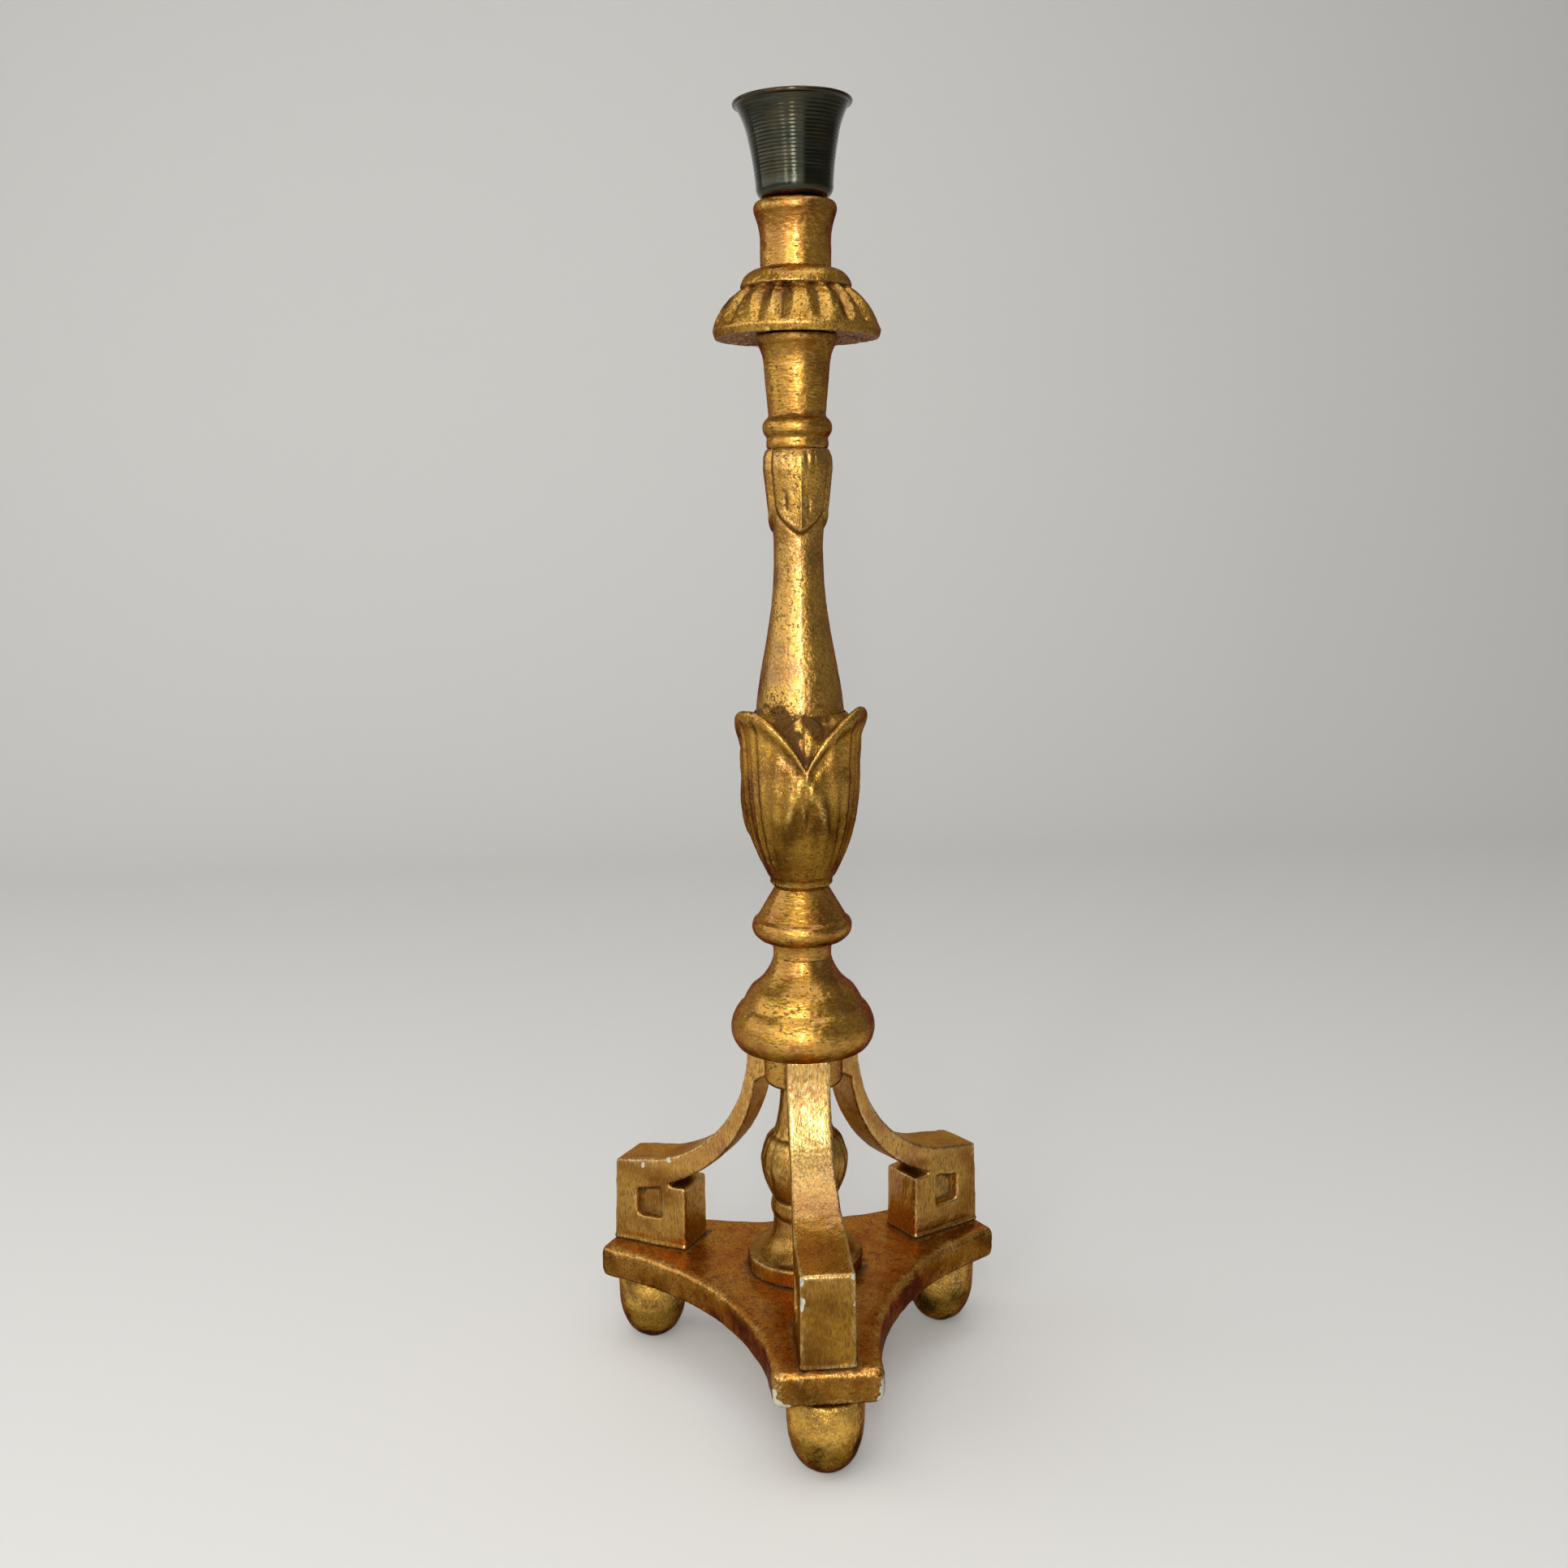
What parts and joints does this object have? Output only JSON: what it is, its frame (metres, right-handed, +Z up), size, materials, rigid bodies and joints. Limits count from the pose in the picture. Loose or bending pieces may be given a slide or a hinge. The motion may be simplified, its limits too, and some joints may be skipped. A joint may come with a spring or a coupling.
{
  "type": "candle stand",
  "caption": "Tall giltwood candle stand: dark metal cup, lobed drip pan, leaf-carved shaft and calyx, turned knops, Greek-key legs and a hollow-sided plinth on egg feet.",
  "frame": {"origin": "on the floor under the shaft's axis, in the middle of the feet", "axes": "+Z up along the shaft towards the cup's rim; -Y along the front leg; +X towards the right leg's side"},
  "size_m": [0.2538, 0.2211, 0.75],
  "materials": {
    "gilt_wood": "worn water gilding over gesso",
    "dark_metal": "dark bronzed patina",
    "brass_tube": "dull brass",
    "raw_wood": "bare turned wood",
    "iron": "dark oxidised iron"
  },
  "bodies": {
    "stand": {"neck_socket": "gilt_wood", "drip_pan": "gilt_wood", "pan_dowel": "raw_wood", "upper_stem": "gilt_wood", "stem_dowel": "raw_wood", "leaf_shaft": "gilt_wood", "calyx_dowel": "raw_wood", "leaf_calyx": "gilt_wood", "knop_disc": "gilt_wood", "knop_dowel": "raw_wood", "bell": "gilt_wood", "leg_hub": "gilt_wood", "centre_baluster": "gilt_wood", "base_screw": "iron", "leg_front": "gilt_wood", "leg_left": "gilt_wood", "leg_right": "gilt_wood", "leg_dowels": "raw_wood", "plinth": "gilt_wood", "foot_front": "gilt_wood", "foot_left": "gilt_wood", "foot_right": "gilt_wood"},
    "cup": {"candle_cup": "dark_metal", "cup_spigot": "brass_tube"}
  },
  "joints": [
    {"name": "cup_lift", "type": "slide", "parent": "stand", "child": "cup", "axis": [0, 0, 1], "range_m": [0, 0.04]}
  ]
}
